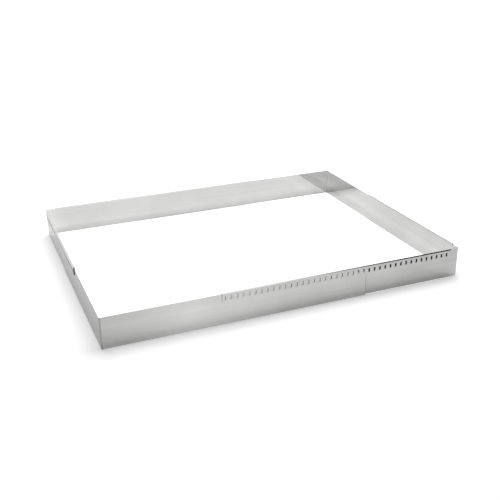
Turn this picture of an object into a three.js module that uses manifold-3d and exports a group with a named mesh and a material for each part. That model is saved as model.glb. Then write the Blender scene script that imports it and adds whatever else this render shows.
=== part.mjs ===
// Adjustable cake frame: four L-shaped corners of stainless sheet that slide in one another.
// Two plain corners run in the slotted lips of two rail corners, so length and width can be set.
// Millimetres, +Z up, with the front of the frame towards -Y. The origin is on the table, mid-frame.
import * as THREE from 'three';
import { mergeVertices } from 'three/addons/utils/BufferGeometryUtils.js';
import Module from 'manifold-3d';

// Sheet and running fits
const sheetThickness = 0.8;
const wallClearance = 0.6; // inner face of a plain leg to the rail wall beside it
const flangeClearance = 0.25; // outer face of a plain leg to the flange over it
const roofClearance = 0.35; // top edge of a plain leg to the lip above it
const cornerBendRadius = 1.5; // inside radius of the upright bends
const lipBendRadius = 0.6; // inside radius of the lip's two folds
const arcSteps = 3;

// Plain corners, which stand on the table
const plainHeight = 51.5;
const plainLongLeg = 436;
const plainShortLeg = 294;

// Rail corners, which hang on the plain ones
const railLift = 0.75; // bottom edge above the table
const railLongLeg = 430.5;
const railShortLeg = 293;
const cornerRelief = 17.5; // each lip stops this far from its corner
const reliefNotch = 1.2; // width of the notch between a lip's end and the corner's upright ear

// Slots in the lip's outer flange
const slotPitch = 10;
const slotWidth = 3;
const slotHeight = 6.6;
const slotCornerRadius = 0.8;
const slotDrop = 4.6; // top of the lip to the top of a slot
const flangeEdge = 2.7; // steel left under a slot
const slotEndMargin = 4.5; // free end of a leg to the centre of its first slot
const slotCornerMargin = 5; // least length of lip past the centre of the last slot

// End tab of a plain leg, cut down and pressed into two nibs that sit behind two slots
const nibCount = 2;
const nibMargin = 5.2; // free end of a leg to the centre of its first nib
const nibInset = 0.3; // each side of a nib inside the slot's width
const nibEdge = 0.6; // above and below a nib, inside the slot's height
const nibGap = 0.1; // crest of a nib to the flange that it passes
const tabStep = 3; // top of a slot to the top of the tab
const tabShoulder = 2.8; // centre of the last nib to the tab's inner end

// Setting at rest: the slot, counted from the free end, that holds a leg's first nib
const lengthSlot = 24;
const widthSlot = 10;

// Values that follow from those above
const railSeat = sheetThickness + wallClearance; // outer face of a plain leg to that of a rail leg
const channelWidth = wallClearance + sheetThickness + flangeClearance;
const lipWidth = channelWidth + 2 * sheetThickness;
const lipTop = plainHeight + roofClearance + sheetThickness;
const lipFold = lipBendRadius + sheetThickness; // outside radius of the lip's folds
const slotTop = lipTop - slotDrop;
const slotBottom = slotTop - slotHeight;
const flangeBottom = slotBottom - flangeEdge;
const tabTop = slotTop - tabStep;
const tabLength = nibMargin + (nibCount - 1) * slotPitch + tabShoulder;
const nibRise = flangeClearance - nibGap;

// Outer size between the plain corners when a leg's first nib sits behind the given slot
function spanAt(plainLeg, railLeg, slot) {
  return plainLeg - nibMargin + railLeg - slotEndMargin - slot * slotPitch + railSeat;
}
const frameLength = spanAt(plainLongLeg, railLongLeg, lengthSlot);
const frameWidth = spanAt(plainShortLeg, railShortLeg, widthSlot);

const wasm = await Module();
wasm.setup();

const alongX = new THREE.Vector3(1, 0, 0);
const alongY = new THREE.Vector3(0, 1, 0);
const up = new THREE.Vector3(0, 0, 1);

function solidOf(geometry) {
  geometry.deleteAttribute('normal');
  geometry.deleteAttribute('uv');
  const welded = mergeVertices(geometry);
  const vertProperties = Float32Array.from(welded.attributes.position.array);
  const triVerts = Uint32Array.from(welded.index.array);
  return new wasm.Manifold(new wasm.Mesh({ numProp: 3, vertProperties, triVerts }));
}

function geometryOf(solid) {
  const mesh = solid.getMesh();
  const geometry = new THREE.BufferGeometry();
  geometry.setAttribute('position', new THREE.BufferAttribute(mesh.vertProperties, 3));
  geometry.setIndex(new THREE.BufferAttribute(mesh.triVerts, 1));
  geometry.computeVertexNormals();
  return geometry;
}

// A closed outline, or a list of them, extruded along the third of the given axes
function extruded(shapes, depth, axes, origin) {
  const options = { depth, bevelEnabled: false, curveSegments: arcSteps };
  const geometry = new THREE.ExtrudeGeometry(shapes, options);
  const place = new THREE.Matrix4().makeBasis(...axes).setPosition(origin);
  return solidOf(geometry.applyMatrix4(place));
}

// Plan of an L of sheet: outer corner at the origin, long leg along X, short leg along Y
function cornerPlan(longLeg, shortLeg, longSide) {
  const inside = cornerBendRadius;
  const outside = cornerBendRadius + sheetThickness;
  const plan = new THREE.Shape();
  plan.moveTo(longLeg, 0);
  plan.lineTo(outside, 0);
  plan.absarc(outside, outside, outside, 1.5 * Math.PI, Math.PI, true);
  plan.lineTo(0, shortLeg);
  plan.lineTo(sheetThickness, shortLeg);
  plan.absarc(outside, outside, inside, Math.PI, 1.5 * Math.PI, false);
  plan.lineTo(longLeg, sheetThickness);
  plan.closePath();
  const points = plan.getPoints(arcSteps);
  return new THREE.Shape(points.map((p) => new THREE.Vector2(longSide * p.x, p.y)));
}

function cornerWall(longLeg, shortLeg, longSide, bottom, top) {
  const plan = cornerPlan(longLeg, shortLeg, longSide);
  const origin = new THREE.Vector3(0, 0, bottom);
  return extruded(plan, top - bottom, [alongX, alongY, up], origin);
}

// The two legs of a corner. Along run, the free end lies at the signed distance free from the corner,
// and run x up points out of the frame.
function legsOf(longLeg, shortLeg, longSide) {
  return [
    { run: alongX, free: longSide * longLeg },
    { run: alongY.clone().multiplyScalar(-longSide), free: -longSide * shortLeg },
  ];
}

function outwardOf(leg) {
  return new THREE.Vector3().crossVectors(leg.run, up);
}

// A point of a leg: distance from its free end, and distance out of its outer face
function pointOn(leg, fromFreeEnd, outOfFace) {
  const station = leg.free - Math.sign(leg.free) * fromFreeEnd;
  return leg.run.clone().multiplyScalar(station).addScaledVector(outwardOf(leg), outOfFace);
}

// Section of a lip: up the wall's inner face, over the channel and down to the flange's edge
function lipSection() {
  const roof = lipTop - sheetThickness;
  const foldStart = lipTop - lipFold;
  const section = new THREE.Shape();
  section.moveTo(0, flangeBottom);
  section.lineTo(0, foldStart);
  section.absarc(lipFold, foldStart, lipFold, Math.PI, 0.5 * Math.PI, true);
  section.absarc(lipWidth - lipFold, foldStart, lipFold, 0.5 * Math.PI, 0, true);
  section.lineTo(lipWidth, flangeBottom);
  section.lineTo(lipWidth - sheetThickness, flangeBottom);
  section.absarc(lipWidth - lipFold, foldStart, lipBendRadius, 0, 0.5 * Math.PI, false);
  section.lineTo(lipFold, roof);
  section.absarc(lipFold, foldStart, lipBendRadius, 0.5 * Math.PI, Math.PI, false);
  section.lineTo(sheetThickness, flangeBottom);
  section.closePath();
  return section;
}

function lipOn(leg) {
  const length = Math.abs(leg.free) - cornerRelief;
  const start = leg.free > 0 ? 0 : length;
  const axes = [outwardOf(leg), up, leg.run.clone().negate()];
  return extruded(lipSection(), length, axes, pointOn(leg, start, -sheetThickness));
}

function slotOutline(centre) {
  const left = centre - slotWidth / 2 + slotCornerRadius;
  const right = centre + slotWidth / 2 - slotCornerRadius;
  const low = slotBottom + slotCornerRadius;
  const high = slotTop - slotCornerRadius;
  const outline = new THREE.Shape();
  outline.absarc(right, low, slotCornerRadius, 1.5 * Math.PI, 2 * Math.PI, false);
  outline.absarc(right, high, slotCornerRadius, 0, 0.5 * Math.PI, false);
  outline.absarc(left, high, slotCornerRadius, 0.5 * Math.PI, Math.PI, false);
  outline.absarc(left, low, slotCornerRadius, Math.PI, 1.5 * Math.PI, false);
  outline.closePath();
  return new THREE.Shape(outline.getPoints(1));
}

function slotsOn(leg) {
  const room = Math.abs(leg.free) - cornerRelief - slotEndMargin - slotCornerMargin;
  const count = Math.floor(room / slotPitch) + 1;
  const towardCorner = -Math.sign(leg.free);
  const outlines = [];
  for (let i = 0; i < count; i += 1) {
    outlines.push(slotOutline(towardCorner * (slotEndMargin + i * slotPitch)));
  }
  const midChannel = channelWidth / 2;
  const depth = lipWidth - midChannel;
  return extruded(outlines, depth, [leg.run, up, outwardOf(leg)], pointOn(leg, 0, midChannel));
}

// A rail corner has its long leg along -X
function railCorner() {
  const earLeg = cornerRelief - reliefNotch;
  const ear = cornerWall(earLeg, earLeg, -1, railLift, lipTop);
  let solid = cornerWall(railLongLeg, railShortLeg, -1, railLift, lipTop - lipFold).add(ear);
  for (const leg of legsOf(railLongLeg, railShortLeg, -1)) {
    solid = solid.add(lipOn(leg)).subtract(slotsOn(leg));
  }
  return solid;
}

// Space above an end tab, cut away from the leg's full thickness
function tabCutOn(leg) {
  const cut = new THREE.BoxGeometry(2 * tabLength, 2 * (plainHeight - tabTop), 4 * sheetThickness);
  const place = new THREE.Matrix4().makeBasis(leg.run, up, outwardOf(leg));
  place.setPosition(pointOn(leg, 0, 0).setZ(plainHeight));
  return solidOf(cut.applyMatrix4(place));
}

// One pressed nib: an upright rib with an arched section, rooted in the leg's thickness
function nibOn(leg, index) {
  const half = slotWidth / 2 - nibInset;
  const root = -sheetThickness / 2;
  const arch = new THREE.Shape();
  arch.moveTo(-half, root);
  arch.lineTo(half, root);
  arch.lineTo(half, 0);
  arch.quadraticCurveTo(0, 2 * nibRise, -half, 0);
  arch.closePath();
  const bottom = slotBottom + nibEdge;
  const top = tabTop - nibEdge;
  const origin = pointOn(leg, nibMargin + index * slotPitch, 0).setZ(bottom);
  const axes = [leg.run.clone().negate(), outwardOf(leg), up];
  return extruded(arch, top - bottom, axes, origin);
}

// A plain corner has its long leg along +X
function plainCorner() {
  let solid = cornerWall(plainLongLeg, plainShortLeg, 1, 0, plainHeight);
  for (const leg of legsOf(plainLongLeg, plainShortLeg, 1)) {
    solid = solid.subtract(tabCutOn(leg));
    for (let i = 0; i < nibCount; i += 1) {
      solid = solid.add(nibOn(leg, i));
    }
  }
  return solid;
}

// Puts a corner on the table, with its outer corner at x, y and turned about the vertical
function addCorner(group, name, solid, colour, x, y, turn) {
  const material = new THREE.MeshStandardMaterial({ color: colour, roughness: 0.24, metalness: 1 });
  const corner = new THREE.Mesh(geometryOf(solid), material);
  corner.name = name;
  corner.position.set(x, y, 0);
  corner.rotation.z = turn;
  group.add(corner);
}

const plainColour = 0xc8c9c8;
const railColour = 0xcccccb;
const plainX = frameLength / 2;
const plainY = frameWidth / 2;
const railX = plainX - railSeat;
const railY = plainY - railSeat;

const frame = new THREE.Group();
addCorner(frame, 'plain_corner_front_left', plainCorner(), plainColour, -plainX, -plainY, 0);
addCorner(frame, 'rail_corner_front_right', railCorner(), railColour, railX, -railY, 0);
addCorner(frame, 'rail_corner_back_left', railCorner(), railColour, -railX, railY, Math.PI);
addCorner(frame, 'plain_corner_back_right', plainCorner(), plainColour, plainX, plainY, Math.PI);

export default frame;
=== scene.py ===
import math
import bmesh
import bpy
from mathutils import Matrix, Vector


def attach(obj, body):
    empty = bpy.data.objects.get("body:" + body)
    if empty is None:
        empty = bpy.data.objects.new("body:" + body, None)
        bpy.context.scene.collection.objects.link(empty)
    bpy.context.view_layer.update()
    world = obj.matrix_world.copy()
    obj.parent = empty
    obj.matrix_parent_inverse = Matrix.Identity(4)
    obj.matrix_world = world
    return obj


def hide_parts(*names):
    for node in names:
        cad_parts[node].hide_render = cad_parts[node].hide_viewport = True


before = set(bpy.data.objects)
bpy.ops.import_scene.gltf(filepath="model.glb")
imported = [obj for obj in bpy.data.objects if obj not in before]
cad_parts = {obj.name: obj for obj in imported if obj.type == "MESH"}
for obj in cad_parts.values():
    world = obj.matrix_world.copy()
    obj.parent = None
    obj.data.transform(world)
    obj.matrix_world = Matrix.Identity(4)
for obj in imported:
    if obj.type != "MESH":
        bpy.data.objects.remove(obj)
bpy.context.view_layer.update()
print("frame loaded:", ", ".join(sorted(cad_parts)))

up = Vector((0, 0, 1))
millimetre = 0.001
toMetres = Matrix.Scale(millimetre, 4)

# camera at the photograph's angle, image taken as square
cameraView = {
    "place": (-0.47351, -1.20028, 0.56746),
    "yaw": 22.4566,
    "pitch": 23.4749,
    "roll": 0.5183,
    "focalPixels": 762.78,
    "imagePixels": 500,
    "sensor": 36.0,
}


def aimCamera(view):
    yaw, pitch, roll = (math.radians(view[k]) for k in ("yaw", "pitch", "roll"))
    level = Vector((math.sin(yaw), math.cos(yaw), 0))
    ahead = level * math.cos(pitch) - up * math.sin(pitch)
    side = Vector((math.cos(yaw), -math.sin(yaw), 0))
    down = ahead.cross(side)
    sideRolled = side * math.cos(roll) + down * math.sin(roll)
    downRolled = down * math.cos(roll) - side * math.sin(roll)
    turn = Matrix((sideRolled, -downRolled, -ahead)).transposed().to_4x4()
    data = bpy.data.cameras.new("camera")
    data.sensor_width = view["sensor"]
    data.lens = view["focalPixels"] * view["sensor"] / view["imagePixels"]
    camera = bpy.data.objects.new("camera", data)
    camera.matrix_world = Matrix.Translation(view["place"]) @ turn
    bpy.context.scene.collection.objects.link(camera)
    bpy.context.scene.camera = camera


aimCamera(cameraView)
print("camera placed")


# a socket that adds Math nodes when it is used in an expression
class Wire:
    def __init__(self, tree, socket=None):
        self.tree = tree
        self.socket = socket

    def node(self, kind, settings=None, sockets=None, out=0):
        made = self.tree.nodes.new(kind)
        for name, value in (settings or {}).items():
            if name == "stops":
                fillRamp(made.color_ramp, value)
            else:
                setattr(made, name, value)
        for name, value in (sockets or {}).items():
            if isinstance(value, Wire):
                self.tree.links.new(value.socket, made.inputs[name])
            else:
                made.inputs[name].default_value = value
        return Wire(self.tree, made.outputs[out])

    def maths(self, operation, first, second=0.0):
        return self.node("ShaderNodeMath", {"operation": operation}, {0: first, 1: second})

    def __add__(self, other):
        return self.maths("ADD", self, other)

    __radd__ = __add__

    def __sub__(self, other):
        return self.maths("SUBTRACT", self, other)

    def __rsub__(self, other):
        return self.maths("SUBTRACT", other, self)

    def __mul__(self, other):
        return self.maths("MULTIPLY", self, other)

    __rmul__ = __mul__

    def __gt__(self, other):
        return self.maths("GREATER_THAN", self, other)

    def __lt__(self, other):
        return self.maths("LESS_THAN", self, other)

    def __abs__(self):
        return self.maths("ABSOLUTE", self)


def fillRamp(ramp, stops):
    while len(ramp.elements) < len(stops):
        ramp.elements.new(0.5)
    for element, (place, tone) in zip(ramp.elements, stops):
        element.position = place
        element.color = (tone, tone, tone, 1)


# noise behind the finish: detail, the ramp's two stops and a shift so that no two patterns agree
steelPatterns = {
    "grain": {"detail": 3.0, "stops": (0.25, 0.75), "shift": 0.0},
    "smudge": {"detail": 4.0, "stops": (0.42, 0.72), "shift": 3.1},
    "streak": {"detail": 2.0, "stops": (0.35, 0.65), "shift": 7.7},
    "scratch": {"detail": 1.0, "stops": (0.69, 0.73), "shift": 1.9},
    "sway": {"detail": 1.0, "stops": (0.0, 1.0), "shift": 5.3},
}


# rolled stainless sheet: half mirror, faint lines along the rolling, smudges and rubbed scratches
def steelFinish(name, look):
    material = bpy.data.materials.new(name)
    material.use_nodes = True
    tree = material.node_tree
    shader = tree.nodes["Principled BSDF"]
    wire = Wire(tree)
    place = wire.node("ShaderNodeTexCoord", out=3)

    def noise(kind, along, across):
        pattern = steelPatterns[kind]
        low, high = pattern["stops"]
        moved = wire.node("ShaderNodeMapping", {}, {
            "Vector": place, "Scale": (along, along, across), "Location": (pattern["shift"],) * 3})
        cloud = wire.node("ShaderNodeTexNoise", {}, {
            "Vector": moved, "Scale": 1.0, "Detail": pattern["detail"]})
        return wire.node("ShaderNodeValToRGB", {"stops": [(low, 0), (high, 1)]}, {"Fac": cloud})

    def blend(factor, first, second):
        return wire.node("ShaderNodeMix", {"data_type": "RGBA"},
                         {"Factor": factor, "A": first, "B": second}, out=2)

    grain = noise("grain", look["grainAlong"], look["grainAcross"])
    smudge = noise("smudge", look["smudgeScale"], look["smudgeScale"])
    streak = noise("streak", look["streakAlong"], look["streakAcross"])
    scratch = noise("scratch", look["scratchAlong"], look["scratchAcross"])
    sway = noise("sway", look["swayScale"], look["swayScale"])

    lines = streak * look["streakShare"] + grain * (1 - look["streakShare"])
    clean = blend(lines, look["light"], look["dark"])
    tone = blend(smudge * look["smudgeDepth"], clean, look["smudge"])
    rough = look["roughness"] + grain * look["grainRoughness"] + smudge * look["smudgeRoughness"]
    rough = rough + scratch * look["scratchRoughness"]
    height = sway * look["swayHeight"] + grain * look["grainHeight"] - scratch * look["scratchHeight"]
    bump = wire.node("ShaderNodeBump", {}, {"Strength": 1.0, "Distance": 1.0, "Height": height})
    # painted highlight: a thin band at a given height, the lips' tops, is coloured lighter
    if "paintedTopHighlight" in look:
        level = wire.node("ShaderNodeSeparateXYZ", {}, {0: place}, out=2)
        topHighlightMask = wire.node("ShaderNodeMapRange", {}, {0: level, 1: look["highlightBandFrom"], 2: look["highlightBandTo"]})
        tone = blend(topHighlightMask, tone, look["paintedTopHighlight"])
    # painted shade: faces are coloured towards the near-black side tone, and lose their metal, the more
    # they turn away from up
    if "side" in look:
        sideShadeMask = wire.node("ShaderNodeSeparateXYZ", {}, {0: wire.node("ShaderNodeTexCoord", out=1)}, out=2)
        sideShadeMask = wire.maths("MAXIMUM", sideShadeMask, 0.0)
        tone = blend(sideShadeMask, look["side"], tone)
        tree.links.new(sideShadeMask.socket, shader.inputs["Metallic"])
    tree.links.new(tone.socket, shader.inputs["Base Color"])
    tree.links.new(rough.socket, shader.inputs["Roughness"])
    tree.links.new(bump.socket, shader.inputs["Normal"])
    shader.inputs["Metallic"].default_value = 1.0
    shader.inputs["Specular Tint"].default_value = look["edgeTint"]
    return material


sheetLook = {
    "light": (0.70, 0.70, 0.695, 1),
    "dark": (0.64, 0.64, 0.635, 1),
    "smudge": (0.55, 0.55, 0.54, 1),
    "smudgeScale": 16.0,
    "smudgeDepth": 0.35,
    "smudgeRoughness": 0.04,
    "edgeTint": (0.86, 0.86, 0.86, 1),
    "roughness": 0.05,
    "grainAlong": 14.0,
    "grainAcross": 2200.0,
    "grainHeight": 0.0000008,
    "grainRoughness": 0.015,
    "streakAlong": 2.5,
    "streakAcross": 160.0,
    "streakShare": 0.6,
    "scratchAlong": 22.0,
    "scratchAcross": 700.0,
    "scratchHeight": 0.000003,
    "scratchRoughness": 0.1,
    "swayScale": 11.0,
    "swayHeight": 0.00012,
}
plainLook = dict(sheetLook, smudgeScale=14.0)
railLook = dict(
    sheetLook,
    smudgeScale=18.0,
    paintedTopHighlight=(0.84, 0.84, 0.835, 1),  # painted highlight: the tops of the lips are coloured lighter
    highlightBandFrom=0.0508,  # metres above the table
    highlightBandTo=0.0520,
)

# sheared edges, duller than the rolled faces; painted shade makes them near black where they don't look up,
# and a painted highlight makes them lighter than the sheet where they do
cutShadeLook = dict(
    sheetLook,
    light=(0.86, 0.86, 0.855, 1),
    dark=(0.70, 0.70, 0.695, 1),
    side=(0.03, 0.03, 0.029, 1),
    roughness=0.3,
    grainAlong=2400.0,
    grainAcross=120.0,
    grainHeight=0.000004,
    swayHeight=0.0,
)

# painted shade: the inside of the folded lips is coloured near black, and rougher
channelShadeLook = dict(
    sheetLook,
    light=(0.22, 0.22, 0.215, 1),
    dark=(0.13, 0.13, 0.125, 1),
    roughness=0.45,
)

# painted dark reflection: the outside of the upright bends is coloured much darker than the sheet
bendShadeLook = dict(
    sheetLook,
    light=(0.44, 0.44, 0.436, 1),
    dark=(0.36, 0.36, 0.356, 1),
    roughness=0.2,
)

# painted shade: the hollow of the upright bends is coloured darker than the sheet
hollowShadeLook = dict(
    sheetLook,
    light=(0.57, 0.57, 0.566, 1),
    dark=(0.52, 0.52, 0.516, 1),
    roughness=0.12,
)

plainSteel = steelFinish("plainSteel", plainLook)
bendShadeSteel = steelFinish("bendShadeSteel", bendShadeLook)
hollowShadeSteel = steelFinish("hollowShadeSteel", hollowShadeLook)
railSteel = steelFinish("railSteel", railLook)
channelShadeSteel = steelFinish("channelShadeSteel", channelShadeLook)
cutShadeSteel = steelFinish("cutShadeSteel", cutShadeLook)
print("steel finishes made")

# the sheet that all four corners are bent from, in millimetres
sheetForm = {
    "thickness": 0.8,
    "bendRadius": 1.5,
    "bendSteps": 10,
    "edgeRound": 0.13,
    "edgeSteps": 2,
    "edgeAngle": 50,
    "weld": 0.0005,
    "shadingWeight": 100,
}
flatWall = 0.9999  # least dot product of a flat wall's normal with its leg's outward direction
straight = 0.99  # the same, looser, for edges along a leg and for the wall along X
bent = 0.999  # no face of a bend has a larger x or y in its normal
slack = 0.01  # millimetres, smaller than any step of the shapes


def verticesOf(row):
    return [g for g in row if isinstance(g, bmesh.types.BMVert)]


def edgesOf(row):
    return [g for g in row if isinstance(g, bmesh.types.BMEdge)]


def facesOf(row):
    return [g for g in row if isinstance(g, bmesh.types.BMFace)]


# extrudes a vertex, or a row of edges, by a step
def grow(bm, row, step):
    edges = edgesOf(row)
    if edges:
        made = bmesh.ops.extrude_edge_only(bm, edges=edges)["geom"]
    else:
        made = bmesh.ops.extrude_vert_indiv(bm, verts=row)["verts"]
    fresh = verticesOf(made)
    bmesh.ops.translate(bm, verts=fresh, vec=step)
    moved = set(fresh)
    return [e for e in edgesOf(made) if set(e.verts) <= moved] or fresh


# bends a vertex, or a row of edges, round an axis
def turn(bm, row, centre, axis, degrees, steps):
    ends = set(v for e in edgesOf(row) for v in e.verts)
    made = bmesh.ops.spin(bm, geom=list(ends) + list(row), cent=centre, axis=axis,
                          angle=math.radians(degrees), steps=steps, use_duplicate=False)
    last = made["geom_last"]
    return edgesOf(last) or verticesOf(last)


# cuts faces along a plane and gives back all their pieces
def cutFaces(bm, faces, point, normal):
    around = set(g for f in faces for g in [*f.edges, *f.verts])
    made = bmesh.ops.bisect_plane(bm, geom=[*faces, *around], plane_co=point, plane_no=normal)
    return facesOf(made["geom"])


# flat faces of the wall that a leg stands in
def wallOf(bm, leg):
    bm.normal_update()
    return [f for f in bm.faces if abs(f.normal.dot(leg["outward"])) > flatWall]


def alongLeg(face, leg):
    return face.calc_center_median().dot(leg["run"])


def dropAbove(bm, faces, level):
    above = [f for f in faces if f.calc_center_median().z > level]
    bmesh.ops.delete(bm, geom=above, context="FACES")


# a corner's legs: run goes from the corner to the free end, outward out of the frame
def legsOf(form, longSide):
    return [
        {"run": Vector((longSide, 0, 0)), "outward": Vector((0, -1, 0)), "length": form["longLeg"]},
        {"run": Vector((0, 1, 0)), "outward": Vector((-longSide, 0, 0)), "length": form["shortLeg"]},
    ]


# the upright L, drawn along the middle of the sheet; gives the top row of edges
def raiseWall(bm, legs, longSide, stops, low, high):
    longLeg, shortLeg = legs
    half = sheetForm["thickness"] / 2
    start = sheetForm["bendRadius"] + sheetForm["thickness"]
    first = longLeg["run"] * longLeg["length"] - longLeg["outward"] * half + up * low
    row = bmesh.ops.create_vert(bm, co=first)["vert"]
    along = [longLeg["length"], *stops, start]
    for here, nearer in zip(along, along[1:]):
        row = grow(bm, row, longLeg["run"] * (nearer - here))
    centre = Vector((longSide * start, start, low))
    row = turn(bm, row, centre, up, -90 * longSide, sheetForm["bendSteps"])
    along = [start, *reversed(stops), shortLeg["length"]]
    for here, farther in zip(along, along[1:]):
        row = grow(bm, row, shortLeg["run"] * (farther - here))
    return grow(bm, bm.edges[:], up * (high - low))


# the bend between the legs has finishes of its own: painted darker on its outside, and painted shade in its
# hollow
def markBend(bm, finish):
    bm.normal_update()
    for face in bm.faces:
        if max(abs(face.normal.x), abs(face.normal.y)) < bent:
            face.material_index = finish


# whether the wall along X has its normals towards the inside of the frame
def wallLooksIn(bm):
    bm.normal_update()
    wall = [f for f in bm.faces if abs(f.normal.y) > straight]
    return min(wall, key=lambda f: f.calc_center_median().z).normal.y > 0


# turns the bent sheet into a piece with real thickness and rounded edges; its inner side takes the finish
# before a face's own, and its rim the one that lies rimShift after it, or the last
def finishSheet(bm, name, node, form, place):
    bmesh.ops.remove_doubles(bm, verts=bm.verts, dist=sheetForm["weld"])
    bmesh.ops.recalc_face_normals(bm, faces=bm.faces)
    if wallLooksIn(bm):
        bmesh.ops.reverse_faces(bm, faces=bm.faces)
    bmesh.ops.transform(bm, matrix=toMetres @ place, verts=bm.verts)
    mesh = bpy.data.meshes.new(name)
    bm.to_mesh(mesh)
    bm.free()
    mesh.polygons.foreach_set("use_smooth", [True] * len(mesh.polygons))
    for steel in form["finishes"]:
        mesh.materials.append(steel)
    piece = bpy.data.objects.new(name, mesh)
    bpy.context.scene.collection.objects.link(piece)
    thick = piece.modifiers.new("thickness", "SOLIDIFY")
    thick.thickness = sheetForm["thickness"] * millimetre
    thick.offset = 0.0
    thick.use_even_offset = True
    thick.material_offset = -1
    thick.material_offset_rim = form["rimShift"]
    rounded = piece.modifiers.new("roundedEdges", "BEVEL")
    rounded.width = sheetForm["edgeRound"] * millimetre
    rounded.segments = sheetForm["edgeSteps"]
    rounded.limit_method = "ANGLE"
    rounded.angle_limit = math.radians(sheetForm["edgeAngle"])
    rounded.profile = 0.5
    rounded.material = -1
    smooth = piece.modifiers.new("evenShading", "WEIGHTED_NORMAL")
    smooth.weight = sheetForm["shadingWeight"]
    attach(piece, node["body"])
    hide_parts(node["name"])
    return piece


# plain corner: a bare L, each end cut down to a tab with two pressed nibs
plainCorner = {
    "height": 51.5,
    "longLeg": 436.0,
    "shortLeg": 294.0,
    "tabTop": 45.05,
    "tabLength": 18.0,
    # painted shade: the strip at each end that is coloured dark
    "shadedEndStrip": 0.25,
    "nibMargin": 5.2,
    "nibPitch": 10.0,
    "nibCount": 2,
    "nibWidth": 2.2,
    "nibLow": 42.05,
    "nibHigh": 44.45,
    "nibSteps": ((0.25, 0.5, 0.2), (0.25, 0.3, 0.2), (0.2, 0.1, 0.15)),  # inset, rise and drop
    "finishes": [plainSteel, hollowShadeSteel, bendShadeSteel, cutShadeSteel],
    "bendFinish": 2,
    "endFinish": 3,
    "rimShift": 3,
}


def cutTab(bm, leg, form):
    inner = leg["length"] - form["tabLength"]
    wall = cutFaces(bm, wallOf(bm, leg), leg["run"] * inner, leg["run"])
    end = [f for f in wall if alongLeg(f, leg) > inner]
    end = cutFaces(bm, end, up * form["tabTop"], up)
    dropAbove(bm, end, form["tabTop"])
    return [f for f in end if f.is_valid]


def pressNibs(bm, leg, form, tab):
    half = form["nibWidth"] / 2
    for z in (form["nibLow"], form["nibHigh"]):
        tab = cutFaces(bm, tab, up * z, up)
    middle = (form["nibLow"] + form["nibHigh"]) / 2
    for i in range(form["nibCount"]):
        centre = leg["length"] - form["nibMargin"] - i * form["nibPitch"]
        for side in (-half, half):
            tab = cutFaces(bm, tab, leg["run"] * (centre + side), leg["run"])
        goal = leg["run"] * centre + up * middle
        pad = min(tab, key=lambda f: (f.calc_center_median() - goal).length)
        tab = [f for f in tab if f != pad]
        for inset, rise, drop in form["nibSteps"]:
            bmesh.ops.inset_individual(bm, faces=[pad], thickness=inset, depth=0.0)
            bmesh.ops.translate(bm, verts=pad.verts, vec=leg["outward"] * rise - up * drop)


# painted shade: the last strip of the sheared end takes the cut finish, near black where it faces sideways,
# and shows as a thin dark line on the wall behind it
def paintEndSeam(bm, leg, form):
    start = leg["length"] - form["shadedEndStrip"]
    for face in cutFaces(bm, wallOf(bm, leg), leg["run"] * start, leg["run"]):
        if alongLeg(face, leg) > start:
            face.material_index = form["endFinish"]


def buildPlainCorner(name, node, place):
    bm = bmesh.new()
    legs = legsOf(plainCorner, 1)
    raiseWall(bm, legs, 1, [], 0.0, plainCorner["height"])
    markBend(bm, plainCorner["bendFinish"])
    for leg in legs:
        tab = cutTab(bm, leg, plainCorner)
        pressNibs(bm, leg, plainCorner, tab)
        paintEndSeam(bm, leg, plainCorner)
    return finishSheet(bm, name, node, plainCorner, place)


# rail corner: an L whose top edges are folded outwards into slotted lips
railCorner = {
    "low": 0.75,
    "foldStart": 51.25,
    "longLeg": 430.5,
    "shortLeg": 293.0,
    "relief": 17.5,
    "notch": 1.5,
    "notchLow": 49.9,
    "earTop": 52.65,
    "foldRadius": 1.0,
    "foldSteps": 8,
    "roofWidth": 0.45,
    "flangeLow": 38.75,
    "channelMargin": 0.5,
    "lipEnd": 0.1,
    "slotPitch": 10.0,
    "slotWidth": 3.0,
    "slotLow": 41.45,
    "slotHigh": 48.05,
    "slotRadius": 0.8,
    "slotSteps": 3,
    "slotMargin": 4.5,  # free end to the first slot
    "slotRoom": 5.0,  # least length of lip past the last slot
    "finishes": [railSteel, channelShadeSteel, cutShadeSteel, cutShadeSteel, railSteel],
    "channelFinish": 1,
    "endFinish": 2,
    "rimShift": 2,
}


def foldLip(bm, leg, form, topRow):
    lip = [e for e in topRow if e.calc_length() > form["relief"]
           and abs((e.verts[1].co - e.verts[0].co).normalized().dot(leg["run"])) > straight]
    axis = up.cross(leg["outward"])
    half = sheetForm["thickness"] / 2
    centre = leg["outward"] * (form["foldRadius"] - half) + up * form["foldStart"]
    wall = set(bm.faces)
    row = turn(bm, lip, centre, axis, 90, form["foldSteps"])
    row = grow(bm, row, leg["outward"] * form["roofWidth"])
    row = turn(bm, row, centre + leg["outward"] * form["roofWidth"], axis, 90, form["foldSteps"])
    folds = set(bm.faces)
    grow(bm, row, up * (form["flangeLow"] - form["foldStart"]))
    # painted shade: the folds and the flange take the near-black channel colour
    for face in set(bm.faces) - wall:
        face.material_index = form["channelFinish"]
    return [f for f in bm.faces if f not in folds]


# a notch between the ear and the lip lets the sheet fold without tearing
def cutNotch(bm, leg, form):
    middle = form["relief"] - form["notch"] / 2
    strip = [f for f in wallOf(bm, leg) if abs(alongLeg(f, leg) - middle) < form["notch"] / 4]
    strip = cutFaces(bm, strip, up * form["notchLow"], up)
    dropAbove(bm, strip, form["notchLow"])


# painted shade: the band of wall inside the channel takes the same near-black colour as the rest of it
def shadeChannelBand(bm, leg, form):
    level = form["flangeLow"] + form["channelMargin"]
    wall = [f for f in wallOf(bm, leg) if alongLeg(f, leg) > form["relief"]]
    for face in cutFaces(bm, wall, up * level, up):
        if face.calc_center_median().z > level:
            face.material_index = form["channelFinish"]


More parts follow.
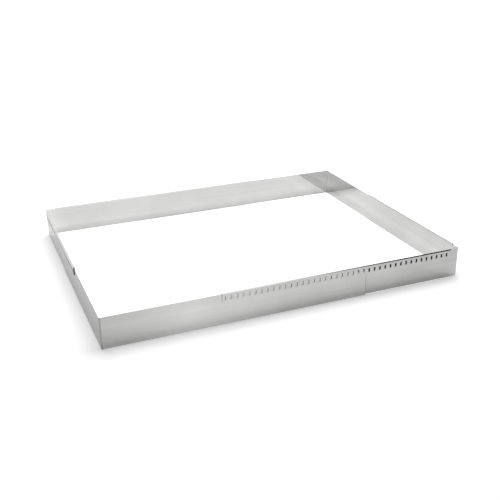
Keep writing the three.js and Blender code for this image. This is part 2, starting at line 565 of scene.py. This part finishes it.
# the corner itself isn't folded, and stands up as high as the lips
def raiseEar(bm, legs, form, topRow):
    reach = form["relief"] - form["notch"] + slack
    ear = [e for e in topRow if all(v.co.dot(leg["run"]) < reach for v in e.verts for leg in legs)]
    grow(bm, ear, up * (form["earTop"] - form["foldStart"]))


def punchSlots(bm, leg, form, flange):
    room = leg["length"] - form["relief"] - form["slotMargin"] - form["slotRoom"]
    count = int(room / form["slotPitch"]) + 1
    centres = [leg["length"] - form["slotMargin"] - i * form["slotPitch"] for i in range(count)]
    halfWidth = form["slotWidth"] / 2
    halfHeight = (form["slotHigh"] - form["slotLow"]) / 2
    middle = (form["slotHigh"] + form["slotLow"]) / 2
    radius = form["slotRadius"]
    outOfWall = flange[0].calc_center_median().dot(leg["outward"])
    for z in (form["slotLow"], form["slotHigh"]):
        flange = cutFaces(bm, flange, up * z, up)
    for centre in centres:
        for side in (-halfWidth, halfWidth):
            flange = cutFaces(bm, flange, leg["run"] * (centre + side), leg["run"])
    band = [f for f in flange if abs(f.calc_center_median().z - middle) < slack]
    for centre in centres:
        goal = leg["run"] * centre + up * middle + leg["outward"] * outOfWall
        hole = min(band, key=lambda f: (f.calc_center_median() - goal).length)
        for sideRun, sideUp in ((1, 1), (-1, 1), (-1, -1), (1, -1)):
            for k in range(form["slotSteps"]):
                angle = math.radians(90 * (k + 1) / (form["slotSteps"] + 1))
                normal = leg["run"] * (sideRun * math.cos(angle)) + up * (sideUp * math.sin(angle))
                bend = leg["run"] * (sideRun * (halfWidth - radius)) + up * (sideUp * (halfHeight - radius))
                parts = cutFaces(bm, [hole], goal + bend + normal * radius, normal)
                hole = max(parts, key=lambda f: f.calc_area())
        band = [f for f in band if f != hole]
        bmesh.ops.delete(bm, geom=[hole], context="FACES")
    return count


# the long lip's free end: its last strip takes the cut finish, with its painted shade and highlight, and
# its rim the plain rail finish instead of the painted shade on the punched slots' rims
def finishLipEnd(bm, leg, form):
    wall = -sheetForm["thickness"] / 2
    start = leg["length"] - form["lipEnd"]
    lip = [f for f in bm.faces if f.calc_center_median().dot(leg["outward"]) > wall + slack
           and alongLeg(f, leg) > form["relief"]]
    for face in cutFaces(bm, lip, leg["run"] * start, leg["run"]):
        if alongLeg(face, leg) > start:
            face.material_index = form["endFinish"]


def buildRailCorner(name, node, place):
    bm = bmesh.new()
    legs = legsOf(railCorner, -1)
    stops = [railCorner["relief"], railCorner["relief"] - railCorner["notch"]]
    top = raiseWall(bm, legs, -1, stops, railCorner["low"], railCorner["foldStart"])
    raiseEar(bm, legs, railCorner, top)
    for leg in legs:
        shadeChannelBand(bm, leg, railCorner)
    flanges = [foldLip(bm, leg, railCorner, top) for leg in legs]
    counts = [punchSlots(bm, leg, railCorner, flange) for leg, flange in zip(legs, flanges)]
    for leg in legs:
        cutNotch(bm, leg, railCorner)
    finishLipEnd(bm, legs[0], railCorner)
    print(name, "slots:", counts)
    return finishSheet(bm, name, node, railCorner, place)


# where the corners stand at the photographed setting: outer corners, in millimetres
setting = {
    "length": 618.2,
    "width": 478.7,
    "railSeat": 1.4,
}


def cornerPlace(inset, sideX, sideY, degrees):
    x = sideX * (setting["length"] / 2 - inset)
    y = sideY * (setting["width"] / 2 - inset)
    return Matrix.Translation((x, y, 0)) @ Matrix.Rotation(math.radians(degrees), 4, "Z")


def nodeOf(kind, corner):
    return {"name": f"{kind}_corner_{corner}", "body": corner, "slot": f"{kind}_sheet"}


seat = setting["railSeat"]
pieces = [
    buildPlainCorner("plain_sheet_front_left", nodeOf("plain", "front_left"), cornerPlace(0, -1, -1, 0)),
    buildRailCorner("rail_sheet_front_right", nodeOf("rail", "front_right"), cornerPlace(seat, 1, -1, 0)),
    buildRailCorner("rail_sheet_back_left", nodeOf("rail", "back_left"), cornerPlace(seat, -1, 1, 180)),
    buildPlainCorner("plain_sheet_back_right", nodeOf("plain", "back_right"), cornerPlace(0, 1, 1, 180)),
]
print("sheets bent:", len(pieces))

# studio: white floor and surroundings, soft light from above; glows are what the camera sees of the floor,
# and mirrored values are added to what the steel sees of it, as ramps over metres. The ramps paint light
# and shade onto the floor: glow near the frame's walls washes out its shadows, and the mirrored ramps make
# lighter and darker patches that only the steel's reflections show
studio = {
    "floorReach": 14.0,
    "floorColour": (0.80, 0.80, 0.80, 1),
    "floorRoughness": 0.9,
    "rampMiddle": 0.5,  # where the frame's middle lies on the ramps that go across it
    "glowSeen": 0.40,
    "glowSpread": [(0.12, 0.0), (0.25, 0.35), (0.5, 0.85), (1.0, 1.0)],
    "glowReach": 4.0,
    "glowSeenRise": 1.5,
    "innerCentre": (0.0007, 0.0007),
    "innerHalf": (0.3076, 0.2378),
    "sideGlow": [(0.0, 0.52), (0.1, 0.38), (0.2, 0.24), (0.5, 0.11), (1.0, 0.09)],
    "backGlow": [(0.0, 0.36), (0.12, 0.24), (0.26, 0.14), (0.5, 0.08), (1.0, 0.10)],
    "cornerGlow": [(0.0, 0.05), (1.0, 0.0)],
    "innerReach": 0.1,
    "footGlow": [(0.0, 0.12), (1.0, 0.0)],
    "footGlowFront": [(0.0, 0.14), (0.2, 0.035), (0.45, 0.0)],
    "footReach": 0.05,
    "mirroredOutside": [(0.19, 0.12), (0.25, 0.16), (0.3, 0.27), (0.35, 0.31), (0.42, 0.24), (0.5, 0.15),
                        (0.62, 0.12), (0.8, 0.04)],
    "mirroredLeft": [(0.35, 0.08), (0.6, 0.14), (0.75, 0.2)],
    "mirroredBack": 0.22,
    "mirroredOffset": -0.1,
    "mirroredInside": 0.04,
    "mirroredFall": [(0.05, 0.0), (0.25, 0.10), (0.40, 0.11), (0.52, 0.22)],
    "skyAmbient": 0.03,
    "skySides": [(0.2, 0.1), (0.42, 1.0), (0.68, 1.0), (0.76, 0.0)],
    "skyLowLeft": [(0.25, 0.7), (0.45, 0.0)],
}


# marks rays that come straight from the camera, and those that come by way of metal or glass
def seenRays(wire):
    path = wire.node("ShaderNodeLightPath")
    rays = {o.name: Wire(wire.tree, o) for o in path.socket.node.outputs}
    mirrored = wire.maths("MAXIMUM", rays["Is Glossy Ray"], rays["Is Transmission Ray"])
    return rays["Is Camera Ray"], mirrored


def layFloor(form):
    bm = bmesh.new()
    bmesh.ops.create_grid(bm, x_segments=1, y_segments=1, size=form["floorReach"])
    mesh = bpy.data.meshes.new("floor")
    bm.to_mesh(mesh)
    bm.free()
    material = bpy.data.materials.new("floorPaper")
    material.use_nodes = True
    tree = material.node_tree
    wire = Wire(tree)
    paper = tree.nodes["Principled BSDF"]
    paper.inputs["Base Color"].default_value = form["floorColour"]
    paper.inputs["Roughness"].default_value = form["floorRoughness"]
    paper.inputs["Specular IOR Level"].default_value = 0.0
    seen, mirrored = seenRays(wire)
    place = wire.node("ShaderNodeTexCoord", out=3)
    split = wire.node("ShaderNodeSeparateXYZ", {}, {0: place}).socket.node
    x, y = Wire(tree, split.outputs[0]), Wire(tree, split.outputs[1])
    radius = wire.maths("SQRT", x * x + y * y)

    def ramp(name, value, reach=1.0):
        return wire.node("ShaderNodeValToRGB", {"stops": form[name]}, {"Fac": value * (1 / reach)})

    # how far a point lies inside the photographed frame, from the side walls and from the front and back
    (midX, midY), (halfX, halfY) = form["innerCentre"], form["innerHalf"]
    fromSides = halfX - abs(x - midX)
    fromBack = halfY - abs(y - midY)
    margin = wire.maths("MINIMUM", fromSides, fromBack)
    within = margin > 0.0
    reach = form["innerReach"]
    # painted light: inside the frame's rest place the floor glows more near the walls, washing out the
    # frame's shadows there; the camera and the steel both see it
    inside = wire.maths("MAXIMUM", ramp("sideGlow", fromSides, reach), ramp("backGlow", fromBack, reach))
    corner = ramp("cornerGlow", wire.maths("MAXIMUM", fromSides, fromBack), reach)
    # painted reflection: the floor outside the frame, as the steel sees it, rises and falls across the
    # frame, is lighter to its left and at the walls' feet, and darker behind the back wall
    isLeft = x < midX - halfX
    left = ramp("mirroredLeft", y + form["rampMiddle"]) * isLeft
    foot = ramp("footGlow", margin, -form["footReach"])
    footFront = ramp("footGlowFront", margin, -form["footReach"]) * (1.0 - isLeft)
    back = (y > midY + halfY) * form["mirroredBack"]
    outer = ramp("mirroredOutside", x + form["rampMiddle"]) + left + foot + footFront - back
    # painted reflection: inside the frame the steel sees more glow near the walls and in the corners, and
    # less towards the back right
    inner = inside + corner + form["mirroredInside"] - ramp("mirroredFall", x + y)
    # painted shade in reflection: the mirrored offset darkens all of the floor that the steel sees
    reflected = outer + within * (inner - outer) + form["mirroredOffset"]
    near = seen * (within * inside + form["glowSeen"]) + mirrored * reflected

    # away from the frame the floor fades to plain white
    spread = ramp("glowSpread", radius, form["glowReach"])
    whole = wire.maths("MINIMUM", spread * form["glowSeenRise"], 1.0)
    strength = near + (1.0 - near) * (seen * whole + mirrored * spread)
    glow = wire.node("ShaderNodeEmission", {}, {"Strength": strength})
    lit = wire.node("ShaderNodeAddShader", {}, {0: Wire(tree, paper.outputs[0]), 1: glow})
    tree.links.new(lit.socket, tree.nodes["Material Output"].inputs["Surface"])
    mesh.materials.append(material)
    floor = bpy.data.objects.new("floor", mesh)
    bpy.context.scene.collection.objects.link(floor)


def hangSky(form):
    world = bpy.data.worlds.new("studio")
    world.use_nodes = True
    bpy.context.scene.world = world
    tree = world.node_tree
    wire = Wire(tree)
    seen, mirrored = seenRays(wire)
    place = wire.node("ShaderNodeTexCoord", out=0)
    split = wire.node("ShaderNodeSeparateXYZ", {}, {0: place}).socket.node
    x, z = Wire(tree, split.outputs[0]), Wire(tree, split.outputs[2])

    def ramp(name, value):
        return wire.node("ShaderNodeValToRGB", {"stops": form[name]}, {"Fac": value})

    # skySides goes from one side of the sky to the other
    sides = ramp("skySides", x * 0.5 + 0.5)
    mirror = wire.maths("MAXIMUM", sides, ramp("skyLowLeft", z) * (x < 0.0))
    tone = seen + mirrored * mirror + (1.0 - seen - mirrored) * form["skyAmbient"]
    sky = tree.nodes["Background"].inputs
    sky["Color"].default_value = (1, 1, 1, 1)
    tree.links.new(tone.socket, sky["Strength"])


softboxes = {
    "above": {"place": (0.25, 0.4, 1.2), "aim": (0.25, 0.4, 0.0), "size": (1.7, 1.4), "watts": 30.0},
}


def hangSoftbox(name, form):
    data = bpy.data.lights.new(name, "AREA")
    data.shape = "RECTANGLE"
    data.size, data.size_y = form["size"]
    data.energy = form["watts"]
    lamp = bpy.data.objects.new(name, data)
    place = Vector(form["place"])
    away = place - Vector(form["aim"])
    lamp.matrix_world = Matrix.Translation(place) @ away.to_track_quat("Z", "Y").to_matrix().to_4x4()
    lamp.visible_camera = False
    lamp.visible_glossy = False
    bpy.context.scene.collection.objects.link(lamp)


layFloor(studio)
hangSky(studio)
for name, form in softboxes.items():
    hangSoftbox(name, form)
bpy.context.scene.view_settings.view_transform = "Standard"
print("studio lit")

# the dressed model has to keep the size of the solids
bpy.context.view_layer.update()
